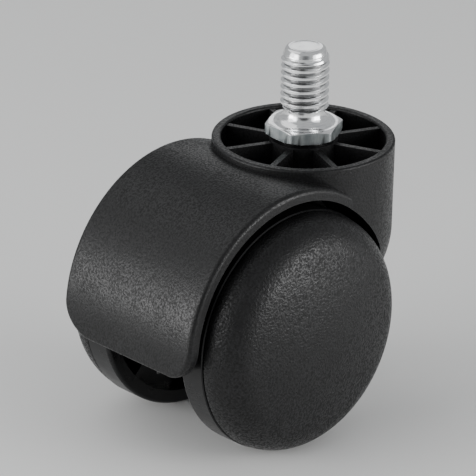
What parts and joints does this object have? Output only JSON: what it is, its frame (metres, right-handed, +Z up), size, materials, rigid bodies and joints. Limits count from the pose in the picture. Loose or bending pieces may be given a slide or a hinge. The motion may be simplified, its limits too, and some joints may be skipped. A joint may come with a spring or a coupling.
{
  "type": "swivel castor",
  "caption": "Hooded furniture castor: twin domed wheels under a moulded hood, offset from a ribbed swivel boss with a threaded steel stem.",
  "frame": {"origin": "centre of the hexagon's top face on the swivel axis, where the stem's shoulder meets the chair leg", "axes": "+Z up the stem, +X from the wheel axle towards the swivel boss, wheels turn about Y"},
  "size_m": [0.0671, 0.0544, 0.0752],
  "materials": {
    "housing_plastic": "black moulded nylon, fine spark-eroded grain",
    "wheel_plastic": "black nylon, smooth semi-gloss tread",
    "cap_plastic": "black moulded nylon, leather-like grain",
    "bush_plastic": "polished black acetal",
    "plated_steel": "bright zinc plate with turning marks",
    "axle_steel": "bright drawn steel",
    "spring_steel": "oiled spring steel"
  },
  "bodies": {
    "stem": {"threaded_stem": "plated_steel", "stem_snap_ring": "spring_steel"},
    "housing": {"caster_housing": "housing_plastic", "swivel_bush": "bush_plastic", "axle": "axle_steel", "thrust_washer_left": "axle_steel", "thrust_washer_right": "axle_steel", "push_on_retainer_left": "spring_steel", "push_on_retainer_right": "spring_steel"},
    "left_wheel": {"wheel_left": "wheel_plastic", "wheel_cap_left": "cap_plastic"},
    "right_wheel": {"wheel_right": "wheel_plastic", "wheel_cap_right": "cap_plastic"}
  },
  "joints": [
    {"name": "swivel", "type": "hinge", "parent": "stem", "child": "housing", "pos_m": [0, 0, -0.012], "axis": [0, 0, 1], "continuous": true},
    {"name": "left_wheel_spin", "type": "hinge", "parent": "housing", "child": "left_wheel", "pos_m": [-0.019, 0.0145, -0.0346], "axis": [0, 1, 0], "continuous": true},
    {"name": "right_wheel_spin", "type": "hinge", "parent": "housing", "child": "right_wheel", "pos_m": [-0.019, -0.0145, -0.0346], "axis": [0, 1, 0], "continuous": true}
  ]
}
